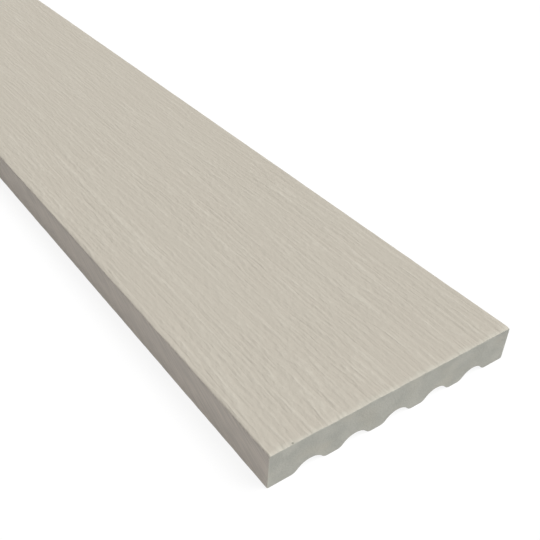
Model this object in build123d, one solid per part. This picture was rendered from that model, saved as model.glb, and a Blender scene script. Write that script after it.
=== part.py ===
from build123d import *
import os

# Fibre cement trim board, one piece of stock lying on its back with its face up.
# Millimetres. X runs along the board, Y across it, +Z is up, out of the embossed face.
# The origin is the middle of the back, in the plane of the lands that touch the wall.

# The board as it is sold
board_length = 3657.6
board_width = 139.7
board_thickness = 19.05

# Flutes: round-topped channels that run the whole length of the back
flute_count = 5
flute_pitch = 24.2
flute_mouth = 15.0
flute_depth = 4.4

# Rounding: where a flute rolls over into the flat land beside it, and the four long arrises
shoulder_radius = 4.0
face_arris_radius = 0.8
back_arris_radius = 0.8

# The least flat that a shoulder leaves beside it, on a land that is narrow for its shoulders
least_flat = 0.2


def crown_radius():
    """Radius of the arc that spans a flute's mouth and rises to its depth."""
    half_mouth = flute_mouth / 2
    return (half_mouth**2 + flute_depth**2) / (2 * flute_depth)


def plain_section():
    """The board before it is fluted: a flat face, a flat back and four eased arrises."""
    section = Rectangle(board_width, board_thickness, align=(Align.CENTER, Align.MIN))
    section = fillet(section.vertices().group_by(Axis.Y)[-1], face_arris_radius)
    return fillet(section.vertices().group_by(Axis.Y)[0], back_arris_radius)


def flutes():
    """One circle for each flute, whose part above the plane of the back is cut away."""
    crown_centre = Pos(0, flute_depth - crown_radius())
    across = GridLocations(flute_pitch, 0, flute_count, 1)
    return [crown_centre * place * Circle(crown_radius()) for place in across]


def fitted_shoulder():
    """The shoulder radius, or the largest that its land has room for where that is less."""
    outer_flute = flute_pitch * (flute_count - 1) / 2
    room_to_edge = board_width / 2 - back_arris_radius - outer_flute
    reach = min(flute_pitch / 2, room_to_edge) - least_flat
    # A shoulder of this radius meets the back just that far from its flute's middle
    largest = (reach**2 - (flute_mouth / 2) ** 2) / (2 * flute_depth)
    return min(shoulder_radius, largest)


def fluted_section():
    """The plain section with the flutes cut in, and their mouths rolled over into the lands."""
    section = plain_section() - flutes()
    on_back = section.vertices().group_by(Axis.Y)[0].sort_by(Axis.X)
    # The first and the last are where the back meets its own arrises
    mouth_corners = on_back[1:-1]
    return fillet(mouth_corners, fitted_shoulder())


def trim_board():
    """The section drawn out to the board's length, with square-sawn ends."""
    section = Plane.YZ * fluted_section()
    board = extrude(section, amount=board_length / 2, both=True)
    board.label = "trim_board"
    return board


os.makedirs("parts", exist_ok=True)
export_step(trim_board(), "parts/trim_board.step")
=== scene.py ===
# %% [markdown]
# A fibre cement trim board
#
# The real board is one piece of stock. Such boards are formed from cement, sand and wood fibre, and
# wood grain is pressed into the face while it is soft. Once hard, they are primed on the face and
# the long edges and sawn to length. Flutes along the back make this one lighter.
# This lesson draws the board's section, pulls it out to length, presses the grain into the face,
# gives it its primed and its bare finishes, and sets it on a pale floor in soft light.

# %% Load the measured board
import math

import bmesh
import bpy
from mathutils import Matrix, Vector


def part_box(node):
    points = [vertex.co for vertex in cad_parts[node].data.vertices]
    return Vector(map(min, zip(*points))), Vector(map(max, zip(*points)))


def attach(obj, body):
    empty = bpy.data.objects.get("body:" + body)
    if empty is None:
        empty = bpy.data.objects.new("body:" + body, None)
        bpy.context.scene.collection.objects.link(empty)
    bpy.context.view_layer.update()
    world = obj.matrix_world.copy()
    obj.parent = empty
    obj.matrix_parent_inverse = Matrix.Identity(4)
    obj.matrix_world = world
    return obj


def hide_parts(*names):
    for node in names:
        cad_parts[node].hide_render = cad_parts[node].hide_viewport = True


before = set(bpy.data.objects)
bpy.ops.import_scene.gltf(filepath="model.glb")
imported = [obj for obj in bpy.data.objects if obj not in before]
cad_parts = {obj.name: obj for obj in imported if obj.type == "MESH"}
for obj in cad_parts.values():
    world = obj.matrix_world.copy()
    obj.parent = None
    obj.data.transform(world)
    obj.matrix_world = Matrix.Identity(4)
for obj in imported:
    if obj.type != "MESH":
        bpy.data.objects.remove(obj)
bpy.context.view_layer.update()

MM = 0.001
lowest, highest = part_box("trim_board")
board_length = highest.x - lowest.x
board_width = highest.y - lowest.y
board_thickness = highest.z - lowest.z
half_length = board_length / 2
half_width = board_width / 2
print("board", round(board_length, 4), round(board_width, 4), round(board_thickness, 5), "metres")

# %% [markdown]
# The section
#
# Cut the real board anywhere and the same outline shows, so it is enough to draw that outline once
# and pull it out to length. Cutting five cylinders out of a block would also make the flutes, but
# it leaves ragged edges that are hard to round over. Here a single point works as a pen instead:
# extrude draws the straight stretches, spin draws the round ones, and each starts where the last
# one ended, so every curve meets the next one smoothly.

# %% The sizes of the section
flute_count = 5
flute_pitch = 24.2 * MM
flute_mouth = 15.0 * MM
flute_depth = 4.4 * MM
shoulder_radius = 4.0 * MM
face_arris_radius = 0.8 * MM
back_arris_radius = 0.8 * MM

crown_radius = ((flute_mouth / 2) ** 2 + flute_depth**2) / (2 * flute_depth)
crown_centre = flute_depth - crown_radius
rise_between_centres = shoulder_radius - crown_centre
shoulder_reach = math.sqrt((crown_radius + shoulder_radius) ** 2 - rise_between_centres**2)
shoulder_turn = math.atan2(shoulder_reach, rise_between_centres)
print("each flute's crown is an arc of", round(crown_radius / MM, 2), "mm radius")

# %% The pen: one point that is pulled along
QUARTER_TURN = math.radians(90)
BOARD_AXIS = (1, 0, 0)


def pen_down(across, up):
    """Starts an object as a small plane merged to one point, in edit mode, at the board's far end."""
    bpy.ops.object.select_all(action="DESELECT")
    bpy.ops.mesh.primitive_plane_add(size=board_thickness)
    bpy.ops.object.mode_set(mode="EDIT")
    bpy.ops.mesh.merge(type="CENTER")
    bpy.ops.transform.translate(value=(lowest.x, across, up))
    return bpy.context.object


def pen_place():
    """Where the pen is: the one selected point."""
    mesh = bmesh.from_edit_mesh(bpy.context.object.data)
    return next(point.co.copy() for point in mesh.verts if point.select)


def draw_line_to(across, up):
    """A straight stretch from the pen to a point of the section."""
    here = pen_place()
    move = (0, across - here.y, up - here.z)
    bpy.ops.mesh.extrude_region_move(TRANSFORM_OT_translate={"value": move})


def draw_arc(across, up, turn, steps):
    """A round stretch about a centre. A positive turn runs anticlockwise, seen from the near end."""
    centre = (lowest.x, across, up)
    bpy.ops.mesh.spin(steps=steps, angle=-turn, center=centre, axis=BOARD_AXIS)


# %% Draw the outline, from the back's left end round to where it began
crown_steps = 16
shoulder_steps = 6
face_arris_steps = 4
back_arris_steps = 3
upper_bend = board_thickness - face_arris_radius

board = pen_down(back_arris_radius - half_width, 0)
board.name = "primed_trim_board"
for index in range(flute_count):
    middle = (index - (flute_count - 1) / 2) * flute_pitch
    left = middle - shoulder_reach
    right = middle + shoulder_reach
    draw_line_to(left, 0)
    draw_arc(left, shoulder_radius, shoulder_turn, shoulder_steps)
    draw_arc(middle, crown_centre, -2 * shoulder_turn, crown_steps)
    draw_arc(right, shoulder_radius, shoulder_turn, shoulder_steps)
draw_line_to(half_width - back_arris_radius, 0)
draw_arc(half_width - back_arris_radius, back_arris_radius, QUARTER_TURN, back_arris_steps)
draw_line_to(half_width, upper_bend)
draw_arc(half_width - face_arris_radius, upper_bend, QUARTER_TURN, face_arris_steps)
draw_line_to(face_arris_radius - half_width, board_thickness)
draw_arc(face_arris_radius - half_width, upper_bend, QUARTER_TURN, face_arris_steps)
draw_line_to(-half_width, back_arris_radius)
draw_arc(back_arris_radius - half_width, back_arris_radius, QUARTER_TURN, back_arris_steps)

SAME_PLACE = 0.001 * MM
bpy.ops.mesh.select_all(action="SELECT")
bpy.ops.mesh.remove_doubles(threshold=SAME_PLACE)
print("the outline has", len(bmesh.from_edit_mesh(board.data).verts), "points")

# %% [markdown]
# Rows and columns for the grain
#
# The pressed grain is real relief, so the face needs enough points to carry it. Grain lines run
# along the board and are a few millimetres apart, so points must be close together across the
# board and may be further apart along it. The outline's top is divided while it is still one line,
# which is far lighter work than cutting the finished board.

# %% Choose parts in code, as a hand would by clicking
NEAR = 0.02 * MM


def choose(kind, test):
    """Selects, in edit mode, only the edges or faces that pass a test, and counts them."""
    bpy.ops.mesh.select_mode(type=kind)
    bpy.ops.mesh.select_all(action="DESELECT")
    mesh = bmesh.from_edit_mesh(bpy.context.object.data)
    parts = mesh.edges if kind == "EDGE" else mesh.faces
    chosen = [part for part in parts if test(part)]
    for part in chosen:
        part.select_set(True)
    bmesh.update_edit_mesh(bpy.context.object.data)
    return len(chosen)


def all_points(part, test):
    """Whether every point of an edge or a face passes a test."""
    return all(test(point.co) for point in part.verts)


# %% Divide the outline's top and sides
face_parts = (12, 10)
side_rows = 5


def on_face(place):
    return place.z > board_thickness - NEAR


def on_side(place):
    return abs(place.y) > half_width - NEAR


# One subdivide makes at most a hundred cuts, so the face is divided twice.
for parts in face_parts:
    choose("EDGE", lambda edge: all_points(edge, on_face))
    bpy.ops.mesh.subdivide(number_cuts=parts - 1)
choose("EDGE", lambda edge: all_points(edge, on_side))
bpy.ops.mesh.subdivide(number_cuts=side_rows - 1)

face_columns = choose("EDGE", lambda edge: all_points(edge, on_face))
flat_width = board_width - 2 * face_arris_radius
print("the face has", face_columns, "columns,", round(flat_width / face_columns / MM, 2), "mm wide")

# %% [markdown]
# Pulling the section out to length
#
# Filling the outline and extruding it once gives a closed solid with two flat ends. A saw leaves a
# slightly broken edge round each end, so the two end outlines get a small bevel.

# %% Fill, extrude and break the sawn edges
sawn_edge = 0.3 * MM
sawn_edge_steps = 2


def on_end(place):
    return abs(place.x) > half_length - NEAR


def lies_in_end(edge):
    """Whether an edge lies in one end. An edge from one end to the other has both points on ends too."""
    first, last = [point.co.x for point in edge.verts]
    return all_points(edge, on_end) and abs(first - last) < NEAR


bpy.ops.mesh.select_all(action="SELECT")
bpy.ops.mesh.edge_face_add()
bpy.ops.mesh.extrude_region_move(TRANSFORM_OT_translate={"value": (board_length, 0, 0)})
bpy.ops.mesh.select_all(action="SELECT")
bpy.ops.mesh.normals_make_consistent(inside=False)
end_edges = choose("EDGE", lies_in_end)
bpy.ops.mesh.bevel(offset=sawn_edge, offset_type="OFFSET", segments=sawn_edge_steps)
print("bevelled", end_edges, "edges round the two ends")

# %% Cut the board into zones, then each zone into rows
end_zone = 6.0 * MM
near_zone = 600.0 * MM
end_parts = 6
near_parts = 18
far_parts = 17

cuts = [end_zone - half_length, half_length - near_zone, half_length - end_zone]
for place in cuts:
    bpy.ops.mesh.select_all(action="SELECT")
    bpy.ops.mesh.bisect(plane_co=(place, 0, 0), plane_no=BOARD_AXIS)


def carries_relief(place):
    """The face, the long edges and the roundings beside them, but not the fluted back."""
    return on_face(place) or abs(place.y) > half_width - face_arris_radius - NEAR


def runs_along(edge, start, stop):
    """Whether an edge runs lengthwise between two cuts."""
    first, last = sorted(point.co.x for point in edge.verts)
    return last - first > NEAR and first > start - NEAR and last < stop + NEAR


def cut_rows(start, stop, parts):
    """Divides the lengthwise edges between two cuts into equal parts."""
    choose("EDGE", lambda edge: runs_along(edge, start, stop) and all_points(edge, carries_relief))
    bpy.ops.mesh.subdivide(number_cuts=parts - 1)


cut_rows(cuts[2], half_length - sawn_edge, end_parts)
cut_rows(sawn_edge - half_length, cuts[0], end_parts)
# One subdivide makes at most a hundred cuts, so the two long zones are divided twice.
for zone_start, zone_stop, parts in ((cuts[1], cuts[2], near_parts), (cuts[0], cuts[1], far_parts)):
    cut_rows(zone_start, zone_stop, parts)
    cut_rows(zone_start, zone_stop, parts)
print("the board has", len(bmesh.from_edit_mesh(board.data).faces), "faces")

# %% [markdown]
# Node trees in a few words
#
# Relief and colour both come from node trees. Written out node by node they are long, so these
# helpers add the nodes and hand back their output, and a sum reads from the inside out. The same
# helpers work in Geometry Nodes and in a material, so both can follow one and the same grain.

# %% Helpers that add nodes to a tree
NOISE_GAIN = 2.0


def fill(tree, socket, value):
    """Gives an input either a link or a plain value."""
    if isinstance(value, bpy.types.NodeSocket):
        tree.links.new(value, socket)
    else:
        socket.default_value = value


def maths(tree, operation, *values):
    node = tree.nodes.new("ShaderNodeMath")
    node.operation = operation
    for socket, value in zip(node.inputs, values):
        fill(tree, socket, value)
    return node.outputs["Value"]


def add_up(tree, *values):
    total = values[0]
    for value in values[1:]:
        total = maths(tree, "ADD", total, value)
    return total


def times(tree, *values):
    product = values[0]
    for value in values[1:]:
        product = maths(tree, "MULTIPLY", product, value)
    return product


def vector_maths(tree, operation, *values):
    node = tree.nodes.new("ShaderNodeVectorMath")
    node.operation = operation
    for socket, value in zip(node.inputs, values):
        fill(tree, socket, value)
    return node.outputs["Value" if operation == "DISTANCE" else "Vector"]


def split(tree, place):
    node = tree.nodes.new("ShaderNodeSeparateXYZ")
    fill(tree, node.inputs["Vector"], place)
    return node.outputs["X"], node.outputs["Y"], node.outputs["Z"]


def join(tree, x, y, z):
    node = tree.nodes.new("ShaderNodeCombineXYZ")
    for socket, value in zip(node.inputs, (x, y, z)):
        fill(tree, socket, value)
    return node.outputs["Vector"]


def soft_step(tree, value, start, stop, low=0.0, high=1.0):
    """Goes smoothly from low to high as the value goes from start to stop."""
    node = tree.nodes.new("ShaderNodeMapRange")
    node.interpolation_type = "SMOOTHSTEP"
    for socket, number in zip(node.inputs, (value, start, stop, low, high)):
        fill(tree, socket, number)
    return node.outputs["Result"]


def noise(tree, place, seed, length, width=0.0, height=0.0, detail=0.0):
    """Noise from about -1 to 1, in blobs of this length, width and height along x, y and z.

    A size of nought keeps it the same all along that axis. The seed picks which noise it is.
    """
    stretch = tuple(1 / size if size else 0.0 for size in (length, width, height))
    scaled = vector_maths(tree, "MULTIPLY", place, stretch)
    shifted = vector_maths(tree, "ADD", scaled, (seed, seed, seed))
    node = tree.nodes.new("ShaderNodeTexNoise")
    fill(tree, node.inputs["Vector"], shifted)
    node.inputs["Scale"].default_value = 1.0
    node.inputs["Detail"].default_value = detail
    doubled = maths(tree, "MULTIPLY_ADD", node.outputs[0], 2.0, -1.0)
    return maths(tree, "MULTIPLY", doubled, NOISE_GAIN)


# %% [markdown]
# The pressed grain
#
# The face copies sawn softwood: long fine lines that drift from side to side, closer and deeper in
# some places, fainter in others, with a slow swell beneath them. The pattern isn't painted on: it
# is a height, so it is built from stretched noises that add up to one. Its slow forms are pressed
# into the mesh, and what is finer than the mesh's columns is a bump in the finish.
# Bending the place that a noise is looked up at, before looking it up, makes its lines wander, and
# moving that place by the noise itself makes them lean, steep on one side and gentle on the other.
#
# A photograph doesn't give the depth of a grain in millimetres. The depths here were set until the
# render's contrast came near the photograph's, so they are estimates. There the grain also looks
# weaker away from the near end, and whether that is the board or the picture can't be told from it.
# The mild slow change in depth along the board is a guess that follows that look.

# %% Where the grain wanders, and how strong it is
slow_wander = 1.5 * MM
quick_wander = 0.55 * MM
weakest_patch = 0.8
strongest_patch = 1.12
slow_change_length = 500 * MM
weakest_depth = 0.7


def wander(tree, place):
    """The place bent sideways, so that lines drift instead of running dead straight."""
    slow = noise(tree, place, seed=3.1, length=150 * MM, width=60 * MM)
    quick = noise(tree, place, seed=7.7, length=14 * MM, width=8 * MM, detail=2.0)
    sideways = add_up(tree, times(tree, slow, slow_wander), times(tree, quick, quick_wander))
    return vector_maths(tree, "ADD", place, join(tree, 0.0, sideways, 0.0))


def patches(tree, place):
    """How strong the grain is at a place: it varies in patches, and slowly along the board."""
    patch = noise(tree, place, seed=53.3, length=50 * MM, width=25 * MM)
    patch = soft_step(tree, patch, start=-0.7, stop=0.7, low=weakest_patch, high=strongest_patch)
    slow = noise(tree, place, seed=233.3, length=slow_change_length)
    return times(tree, patch, soft_step(tree, slow, start=-0.2, stop=0.6, low=weakest_depth))


print("the grain keeps at least", round(weakest_patch * weakest_depth, 2), "of its depth everywhere")

# %% One height for the slow forms, used by the mesh and by the finish
swell_height = 0.054
broad_line_height = 0.027


def grain_height(tree, place):
    """The height of the grain's slow forms at a place on the face, in millimetres, about the mean."""
    bent = wander(tree, place)
    swell = noise(tree, bent, seed=11.3, length=70 * MM, width=7 * MM)
    broad_lines = noise(tree, bent, seed=17.1, length=45 * MM, width=3.5 * MM)
    relief = add_up(tree, times(tree, swell, swell_height), times(tree, broad_lines, broad_line_height))
    return times(tree, relief, patches(tree, place))


# %% One height for the fine lines, used by the finish alone
line_height = 0.077
fine_line_height = 0.117
short_line_height = 0.045
crinkle_height = 0.09
hairline_height = 0.0135


def leaning_lines(tree, place, seed, length, width, lean):
    """Lines that fall away steeply towards +Y and gently towards -Y, as a noise moved by itself."""
    upright = noise(tree, place, seed, length, width)
    moved = vector_maths(tree, "ADD", place, join(tree, 0.0, times(tree, upright, -lean), 0.0))
    return noise(tree, moved, seed, length, width)


def fine_grain_height(tree, place):
    """The part of the grain that is finer than the mesh: leaning lines on a crinkled ground."""
    bent = wander(tree, place)
    lines = leaning_lines(tree, bent, seed=23.9, length=36 * MM, width=3.2 * MM, lean=0.9 * MM)
    fine_lines = leaning_lines(tree, bent, seed=43.7, length=24 * MM, width=1.9 * MM, lean=0.5 * MM)
    short_lines = noise(tree, bent, seed=31.7, length=6 * MM, width=1.3 * MM)
    crinkle = noise(tree, place, seed=37.3, length=3.6 * MM, width=2.2 * MM, height=2.2 * MM, detail=2.0)
    hairlines = noise(tree, bent, seed=83.9, length=5 * MM, width=0.7 * MM, height=0.7 * MM, detail=2.0)
    detail = add_up(
        tree,
        times(tree, lines, line_height),
        times(tree, fine_lines, fine_line_height),
        times(tree, short_lines, short_line_height),
        times(tree, crinkle, crinkle_height),
        times(tree, hairlines, hairline_height),
    )
    return times(tree, detail, patches(tree, place))


# %% Press the grain into the face, with Geometry Nodes that are then applied
relief_fades_over = 4.0 * MM
edge_waviness = 0.08
wave_reach = 1.5 * MM
arris_wear = 0.5
wear_reach = 1.5 * MM
full_wear_reach = 0.4 * MM


def new_mesh_nodes(name):
    """An empty Geometry Nodes tree that takes a mesh in and gives one back."""
    tree = bpy.data.node_groups.new(name, "GeometryNodeTree")
    for way in ("INPUT", "OUTPUT"):
        tree.interface.new_socket(name="Mesh", in_out=way, socket_type="NodeSocketGeometry")
    return tree, tree.nodes.new("NodeGroupInput"), tree.nodes.new("NodeGroupOutput")


def press_grain():
    """The tree that moves the face up and down, waves the long edges and wears the sawn arrises."""
    tree, mesh_in, mesh_out = new_mesh_nodes("press_grain")
    place = tree.nodes.new("GeometryNodeInputPosition").outputs["Position"]
    along, across, up = split(tree, place)
    from_middle = maths(tree, "ABSOLUTE", along)
    at_end = soft_step(tree, from_middle, half_length - wear_reach, half_length - full_wear_reach)
    chips = noise(tree, place, seed=181.1, length=20 * MM, width=9 * MM, height=20 * MM, detail=2.0)
    worn = times(tree, at_end, soft_step(tree, chips, start=-0.6, stop=1.0), -arris_wear)
    fade = soft_step(tree, up, board_thickness - relief_fades_over, board_thickness - NEAR)
    rise = times(tree, add_up(tree, grain_height(tree, place), worn), fade, MM)
    on_edge = soft_step(tree, maths(tree, "ABSOLUTE", across), half_width - wave_reach, half_width)
    waves = noise(tree, place, seed=61.9, length=7 * MM, width=50 * MM, height=6 * MM, detail=1.0)
    sideways = times(tree, waves, on_edge, maths(tree, "SIGN", across), edge_waviness * MM)
    move = tree.nodes.new("GeometryNodeSetPosition")
    tree.links.new(mesh_in.outputs[0], move.inputs["Geometry"])
    tree.links.new(join(tree, 0.0, sideways, rise), move.inputs["Offset"])
    tree.links.new(move.outputs["Geometry"], mesh_out.inputs[0])
    return tree


bpy.ops.object.mode_set(mode="OBJECT")
modifier = board.modifiers.new("press_grain", "NODES")
modifier.node_group = press_grain()
bpy.ops.object.modifier_apply(modifier=modifier.name)
heights = [point.co.z for point in board.data.vertices]
print("the grain rises", round((max(heights) - board_thickness) / MM, 2), "mm above the face's mean")

# %% [markdown]
# Smooth where it is round, sharp where it was sawn
#
# Shading by angle keeps the roundings soft. The flat ends are marked sharp all round, because a
# big flat face that shares its shading with a tiny bevel shows grey smears.

# %% Shade the board
smooth_below = math.radians(35)

bpy.ops.object.shade_smooth_by_angle(angle=smooth_below)
bpy.ops.object.mode_set(mode="EDIT")
sharp_edges = choose("EDGE", lies_in_end)
bpy.ops.mesh.mark_sharp()
bpy.ops.object.mode_set(mode="OBJECT")
print("marked", sharp_edges, "edges round the two ends sharp")

# %% [markdown]
# The finishes
#
# Three finishes show on one solid. The primer on the face is matt and a warm pale grey, and it is
# painted a touch lighter on the tops of the grain than down in it, as a painted highlight. The long
# edges are primed too, a little pinker, and painted paler than the face as painted light that lifts
# them in their shade, with fine slanting marks that a trimming blade might leave. The sawn ends and
# the back are bare fibre cement, a cooler grey that is mottled where sand and fibre lie unevenly.
# Colours here are linear, which is how Blender adds light up, so each is given as a screen shows it
# and turned into linear light by a helper.

# %% What every finish shares


def from_screen(red, green, blue):
    """A linear colour from the 0 to 255 values that a screen shows, by the usual screen curve."""
    knee = 0.04045

    def linear(value):
        share = value / 255
        return share / 12.92 if share <= knee else ((share + 0.055) / 1.055) ** 2.4

    return (linear(red), linear(green), linear(blue), 1.0)


def blend_colours(tree, share, first, second):
    """The first colour where the share is 0, and the second where it is 1."""
    node = tree.nodes.new("ShaderNodeMix")
    node.data_type = "RGBA"
    # A Mix node has sockets for numbers and vectors too. Its colours are at 6 and 7, and come out at 2.
    fill(tree, node.inputs[0], share)
    fill(tree, node.inputs[6], first)
    fill(tree, node.inputs[7], second)
    return node.outputs[2]


def raise_surface(tree, height_mm):
    """A bump from a height in millimetres."""
    node = tree.nodes.new("ShaderNodeBump")
    node.inputs["Strength"].default_value = 1.0
    node.inputs["Distance"].default_value = MM
    fill(tree, node.inputs["Height"], height_mm)
    return node.outputs["Normal"]


def new_finish(name):
    """A new material with its shader and the piece's own coordinates."""
    material = bpy.data.materials.new(name)
    material.use_nodes = True
    tree = material.node_tree
    place = tree.nodes.new("ShaderNodeTexCoord").outputs["Object"]
    return material, tree, tree.nodes["Principled BSDF"], place


# %% A small nick in the arris over the near end, painted as a spot of shade
nick_from_end = 0.4 * MM
nick_across = -58.3 * MM
nick_reach = 0.7 * MM
# The nick isn't cut into the mesh. It is a darker spot of painted shade.
nick_painted_shade = from_screen(150, 148, 136)


def nick_shade_share(tree, place):
    """How much of the nick's painted shade lies at a place: 1 in the middle of the nick and 0 away from
    it.
    """
    middle = (half_length - nick_from_end, nick_across, board_thickness)
    away = vector_maths(tree, "DISTANCE", place, middle)
    return soft_step(tree, away, nick_reach / 2, nick_reach, low=1.0, high=0.0)


print("the nick is at most", round(2 * nick_reach / MM, 1), "mm across")

# %% Primer on the embossed face
primer = from_screen(196, 190, 177)
# The lighter primer on the grain's tops is a painted highlight. The primer in its hollows is only a
# touch darker than the plain primer.
primer_in_hollows = from_screen(195, 188, 175)
primer_painted_highlight = from_screen(207, 201, 188)
primer_worn = from_screen(203, 200, 187)
least_plain = 0.1
most_plain = 0.5
rim_reach = 3.0 * MM
rim_full_reach = 0.3 * MM
rim_raggedness = 1.6 * MM
rim_strength = 0.5
hollow_roughness = 0.72
top_roughness = 0.6
face_specular = 0.3


def worn_rim(tree, place):
    """How far the primer is rubbed thin and pale, in uneven patches along each sawn end."""
    ragged = noise(tree, place, seed=179.3, length=8 * MM, width=6 * MM, height=6 * MM, detail=2.0)
    from_middle = maths(tree, "ABSOLUTE", split(tree, place)[0])
    uneven = add_up(tree, from_middle, times(tree, ragged, rim_raggedness))
    start = half_length - rim_reach
    return soft_step(tree, uneven, start, half_length - rim_full_reach, high=rim_strength)


def primed_face():
    material, tree, shader, place = new_finish("primed_face")
    fine_height = fine_grain_height(tree, place)
    height = add_up(tree, grain_height(tree, place), fine_height)
    # A painted highlight: the tops of the grain get the lighter primer.
    highlit_tops = soft_step(tree, height, start=0.0, stop=0.3)
    cloud = noise(tree, place, seed=71.3, length=60 * MM, width=30 * MM, height=30 * MM, detail=2.0)
    base = blend_colours(tree, highlit_tops, primer_in_hollows, primer_painted_highlight)
    plain_share = soft_step(tree, cloud, start=-1.0, stop=1.0, low=least_plain, high=most_plain)
    base = blend_colours(tree, plain_share, base, primer)
    base = blend_colours(tree, worn_rim(tree, place), base, primer_worn)
    # The nick's painted shade goes over the face's colour.
    fill(tree, shader.inputs["Base Color"], blend_colours(tree, nick_shade_share(tree, place), base, nick_painted_shade))
    fill(tree, shader.inputs["Normal"], raise_surface(tree, fine_height))
    roughness = soft_step(tree, height, start=-0.3, stop=0.3, low=hollow_roughness, high=top_roughness)
    fill(tree, shader.inputs["Roughness"], roughness)
    shader.inputs["Specular IOR Level"].default_value = face_specular
    return material


face_finish = primed_face()
print("the face's primer takes", len(face_finish.node_tree.nodes), "nodes")

# %% Primer on the long edges
# The edges' primer is a little pinker than the face's. It is also set paler, as painted light that lifts
# the long edges in their shade.
edge_primer_painted_paler = from_screen(208, 199, 189)
edge_primer_dark = from_screen(190, 183, 175)
edge_roughness = 0.8
edge_specular = 0.12
mark_share = 1.15
cloud_share = 0.4
mark_height = 0.05
speckle_height = 0.012
speckle_size = 0.7 * MM

# The marks slant about 25 degrees to the board, and these are near that angle's cosine and sine.
slant_cosine = 0.906
slant_sine = 0.423


def slanted(tree, along, across, up):
    """A place turned about Y, so that a noise looked up there has slanting streaks."""
    turned_along = add_up(tree, times(tree, along, slant_cosine), times(tree, up, -slant_sine))
    turned_up = add_up(tree, times(tree, along, slant_sine), times(tree, up, slant_cosine))
    return join(tree, turned_along, across, turned_up)


def primed_edge():
    material, tree, shader, place = new_finish("primed_edge")
    turned = slanted(tree, *split(tree, place))
    streaks = noise(tree, turned, seed=103.7, length=14 * MM, width=50 * MM, height=0.5 * MM, detail=1.0)
    stretches = noise(tree, place, seed=191.7, length=50 * MM, width=50 * MM, height=20 * MM)
    marks = times(tree, streaks, soft_step(tree, stretches, start=-0.6, stop=0.6, low=0.7, high=1.2))
    cloud = noise(tree, place, seed=113.3, length=20 * MM, width=20 * MM, height=6 * MM, detail=3.0)
    speckle = noise(tree, place, 127.9, speckle_size, speckle_size, speckle_size, detail=1.0)
    mixed = add_up(tree, times(tree, marks, mark_share), times(tree, cloud, cloud_share))
    share = soft_step(tree, mixed, start=-1.0, stop=1.0)
    # The paler of these two colours carries painted light for the shaded edges.
    fill(tree, shader.inputs["Base Color"], blend_colours(tree, share, edge_primer_dark, edge_primer_painted_paler))
    fine = add_up(tree, times(tree, marks, mark_height), times(tree, speckle, speckle_height))
    fill(tree, shader.inputs["Normal"], raise_surface(tree, fine))
    shader.inputs["Roughness"].default_value = edge_roughness
    shader.inputs["Specular IOR Level"].default_value = edge_specular
    return material


edge_finish = primed_edge()
print("the long edges' primer takes", len(edge_finish.node_tree.nodes), "nodes")

# %% Bare fibre cement on the sawn ends and the back
cement = from_screen(188, 187, 178)
cement_dark = from_screen(173, 173, 165)
cement_warm = from_screen(191, 186, 172)
cement_roughness = 0.85
cement_specular = 0.2
cloud_part = 0.7
grit_part = 0.3
most_warmth = 0.35
grit_height = 0.03
pit_depth = 0.02
pit_size = 2.0 * MM
pit_width = 0.1

# Primer runs this far round onto a sawn end, to an uneven line.
run_round_start = 0.3 * MM
run_round_stop = 0.9 * MM
run_round_raggedness = 0.3 * MM
run_round_blob = 4.0 * MM
run_round_strength = 0.4


def crease(tree, level, width):
    """1 where a noise passes through nought, which is along thin lines, and 0 away from it."""
    return soft_step(tree, maths(tree, "ABSOLUTE", level), 0.0, width, low=1.0, high=0.0)


def primer_run_round(tree, place):
    """How much primer lies on a sawn end, near its upper and its outer edges."""
    across, up = split(tree, place)[1:]
    ragged = noise(tree, place, 163.9, run_round_blob, run_round_blob, run_round_blob, detail=3.0)
    from_face = maths(tree, "SUBTRACT", board_thickness, up)
    from_edge = maths(tree, "SUBTRACT", half_width, maths(tree, "ABSOLUTE", across))
    nearest = maths(tree, "MINIMUM", from_face, from_edge)
    line = add_up(tree, nearest, times(tree, ragged, run_round_raggedness))
    return soft_step(tree, line, run_round_start, run_round_stop, low=run_round_strength, high=0.0)


def bare_fibre_cement():
    material, tree, shader, place = new_finish("bare_fibre_cement")
    cloud = noise(tree, place, seed=131.3, length=12 * MM, width=9 * MM, height=6 * MM, detail=4.0)
    warm = noise(tree, place, seed=149.7, length=20 * MM, width=16 * MM, height=9 * MM, detail=1.0)
    grit = noise(tree, place, seed=157.1, length=1.2 * MM, width=1.2 * MM, height=0.9 * MM, detail=2.0)
    mottle = add_up(tree, times(tree, cloud, cloud_part), times(tree, grit, grit_part))
    base = blend_colours(tree, soft_step(tree, mottle, start=-0.9, stop=0.9), cement_dark, cement)
    warm_share = soft_step(tree, warm, start=-0.2, stop=1.2, high=most_warmth)
    base = blend_colours(tree, warm_share, base, cement_warm)
    base = blend_colours(tree, primer_run_round(tree, place), base, primer_worn)
    fill(tree, shader.inputs["Base Color"], base)
    pits = crease(tree, noise(tree, place, 173.3, pit_size, pit_size, pit_size, detail=1.0), pit_width)
    fine = add_up(tree, times(tree, grit, grit_height), times(tree, pits, -pit_depth))
    fill(tree, shader.inputs["Normal"], raise_surface(tree, fine))
    shader.inputs["Roughness"].default_value = cement_roughness
    shader.inputs["Specular IOR Level"].default_value = cement_specular
    return material


bare_finish = bare_fibre_cement()
print("the bare cement takes", len(bare_finish.node_tree.nodes), "nodes")

# %% Give each side of the board its finish
end_facing = 0.6
edge_facing = 0.75


def is_bare(face):
    """The ends, and all of the back between its two arrises, told by the middle of the face."""
    middle = face.calc_center_median()
    on_back = abs(middle.y) < half_width - back_arris_radius and middle.z < flute_depth + NEAR
    return on_back or abs(face.normal.x) > end_facing


def is_long_edge(face):
    """The two long edges, with the arrises below them. The flutes' flanks are too far in."""
    middle = face.calc_center_median()
    outside = abs(middle.y) > half_width - face_arris_radius
    return outside and (abs(face.normal.y) > edge_facing or middle.z < back_arris_radius)


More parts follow.
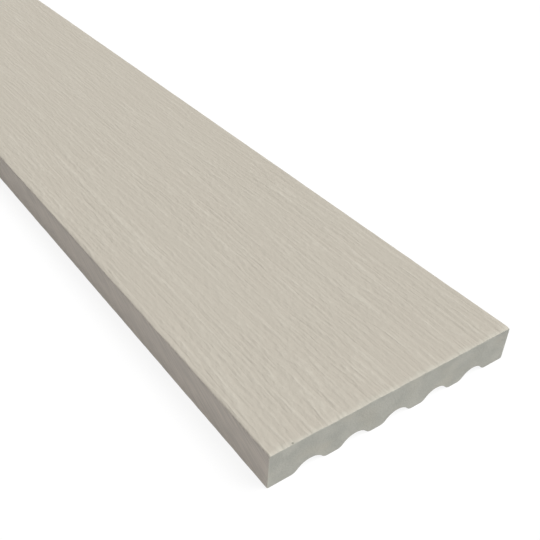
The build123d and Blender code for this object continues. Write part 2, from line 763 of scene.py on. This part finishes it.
def give(test, slot):
    """Selects the faces that pass a test and gives them one of the board's materials."""
    count = choose("FACE", test)
    board.active_material_index = slot
    bpy.ops.object.material_slot_assign()
    return count


for finish in (face_finish, edge_finish, bare_finish):
    board.data.materials.append(finish)
bpy.ops.object.mode_set(mode="EDIT")
print("long edge faces", give(is_long_edge, 1), "bare faces", give(is_bare, 2))
bpy.ops.object.mode_set(mode="OBJECT")

# %% The board stands for the measured one
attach(board, "root")
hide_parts("trim_board")
triangles = sum(len(face.vertices) - 2 for face in board.data.polygons)
print("the board has", triangles, "triangles")

# %% [markdown]
# The camera
#
# The camera's place, lens and tilt were found by matching the board's edges to where they lie in
# the photograph. It looks down along the board from just beyond its near end, and it is tilted a
# little, so nothing needs to be shifted or cropped.

# %% Set up the camera
camera_beyond_end = 148.93 * MM
camera_across = -192.55 * MM
camera_above_face = 226.08 * MM
camera_heading = math.radians(51.79)
camera_down = math.radians(35.85)
camera_tilt = math.radians(3.72)
lens_length = 51.09
sensor_size = 36.0
nearest_seen = 10 * MM
farthest_seen = 100.0

camera_data = bpy.data.cameras.new("camera")
camera_data.lens = lens_length
camera_data.sensor_width = sensor_size
camera_data.clip_start = nearest_seen
camera_data.clip_end = farthest_seen
camera = bpy.data.objects.new("camera", camera_data)
bpy.context.scene.collection.objects.link(camera)
turned = (
    Matrix.Rotation(camera_heading, 4, "Z")
    @ Matrix.Rotation(QUARTER_TURN - camera_down, 4, "X")
    @ Matrix.Rotation(camera_tilt, 4, "Z")
)
stands_at = Vector((half_length + camera_beyond_end, camera_across, board_thickness + camera_above_face))
camera.matrix_world = Matrix.Translation(stands_at) @ turned
bpy.context.scene.camera = camera
print("the camera is", round(camera_above_face / MM), "mm above the face")

# %% [markdown]
# Floor and light
#
# A soft broad key from above and from the right rakes over the grain, so that its lines show,
# and leaves the left edge in shade. A sun with a wide disc does this evenly over a board this long,
# where a lamp nearby would be brighter at one end. A weak low lamp on the left is brighter at one
# end on purpose: in the photograph the left edge darkens a little away from the camera. Where the
# real lights stood isn't known, so the strengths were set to bring the render's colours near the
# photograph's. The floor and the surroundings look white to the camera and in reflections, and the
# floor still takes the board's shadow.

# %% The floor
floor_size = 24.0
floor_shade = (0.72, 0.72, 0.71, 1.0)
floor_seen_shade = (0.9, 0.9, 0.9, 1.0)
floor_glow_share = 0.85
floor_even_share = 0.39
floor_glow = 1.04


def seen_directly(tree):
    """1 for what the camera, a reflection or a clear material sees, and 0 for scattered light."""
    path = tree.nodes.new("ShaderNodeLightPath")
    ways = ("Is Camera Ray", "Is Glossy Ray", "Is Transmission Ray")
    total = add_up(tree, *[path.outputs[way] for way in ways])
    return maths(tree, "MINIMUM", total, 1.0)


def pale_floor():
    """A matt floor that also glows, and glows more where it is seen directly, so that it looks white."""
    material = bpy.data.materials.new("pale_floor")
    material.use_nodes = True
    tree = material.node_tree
    tree.nodes.clear()
    seen = seen_directly(tree)
    matt = tree.nodes.new("ShaderNodeBsdfDiffuse")
    fill(tree, matt.inputs["Color"], blend_colours(tree, seen, floor_shade, floor_seen_shade))
    glow = tree.nodes.new("ShaderNodeEmission")
    glow.inputs["Strength"].default_value = floor_glow
    mixed = tree.nodes.new("ShaderNodeMixShader")
    more_when_seen = times(tree, seen, floor_glow_share - floor_even_share)
    fill(tree, mixed.inputs["Fac"], add_up(tree, more_when_seen, floor_even_share))
    tree.links.new(matt.outputs[0], mixed.inputs[1])
    tree.links.new(glow.outputs[0], mixed.inputs[2])
    output = tree.nodes.new("ShaderNodeOutputMaterial")
    tree.links.new(mixed.outputs[0], output.inputs["Surface"])
    return material


bpy.ops.object.select_all(action="DESELECT")
bpy.ops.mesh.primitive_plane_add(size=floor_size)
floor = bpy.context.object
floor.name = "floor"
floor.data.materials.append(pale_floor())
print("the floor is", floor_size, "metres square")

# %% The surroundings and the key light
fill_light = 0.183
white = (1.0, 1.0, 1.0, 1.0)
key_strength = 2.9
key_spread = math.radians(40)
key_from = Vector((0.30, 0.40, 0.85))

world = bpy.data.worlds.new("surroundings")
bpy.context.scene.world = world
world.use_nodes = True
sky = world.node_tree.nodes["Background"]
share = seen_directly(world.node_tree)
brightness = add_up(world.node_tree, fill_light, times(world.node_tree, share, 1.0 - fill_light))
fill(world.node_tree, sky.inputs["Strength"], brightness)
sky.inputs["Color"].default_value = white

key_data = bpy.data.lights.new("key", "SUN")
key_data.energy = key_strength
key_data.angle = key_spread
key = bpy.data.objects.new("key", key_data)
key.rotation_euler = key_from.to_track_quat("Z", "Y").to_euler()
bpy.context.scene.collection.objects.link(key)
bpy.context.scene.view_settings.view_transform = "Standard"
print("the key light comes from", round(math.degrees(math.asin(key_from.normalized().z))), "degrees up")

# %% The low lamp beside the near end
low_lamp_power = 0.123
low_lamp_size = 300 * MM
low_lamp_beyond_end = 100 * MM
low_lamp_across = -400 * MM
low_lamp_up = 120 * MM
low_lamp_aim_from_end = 20 * MM

low_lamp_at = Vector((half_length + low_lamp_beyond_end, low_lamp_across, low_lamp_up))
low_lamp_aim = Vector((half_length - low_lamp_aim_from_end, -half_width, board_thickness / 2))
low_lamp_data = bpy.data.lights.new("low_lamp", "AREA")
low_lamp_data.energy = low_lamp_power
low_lamp_data.size = low_lamp_size
low_lamp = bpy.data.objects.new("low_lamp", low_lamp_data)
low_lamp.location = low_lamp_at
low_lamp.rotation_euler = (low_lamp_at - low_lamp_aim).to_track_quat("Z", "Y").to_euler()
low_lamp.visible_camera = False
bpy.context.scene.collection.objects.link(low_lamp)
lamp_distance = (low_lamp_at - low_lamp_aim).length
print("the low lamp is", round(lamp_distance / MM), "mm from the point it is aimed at")
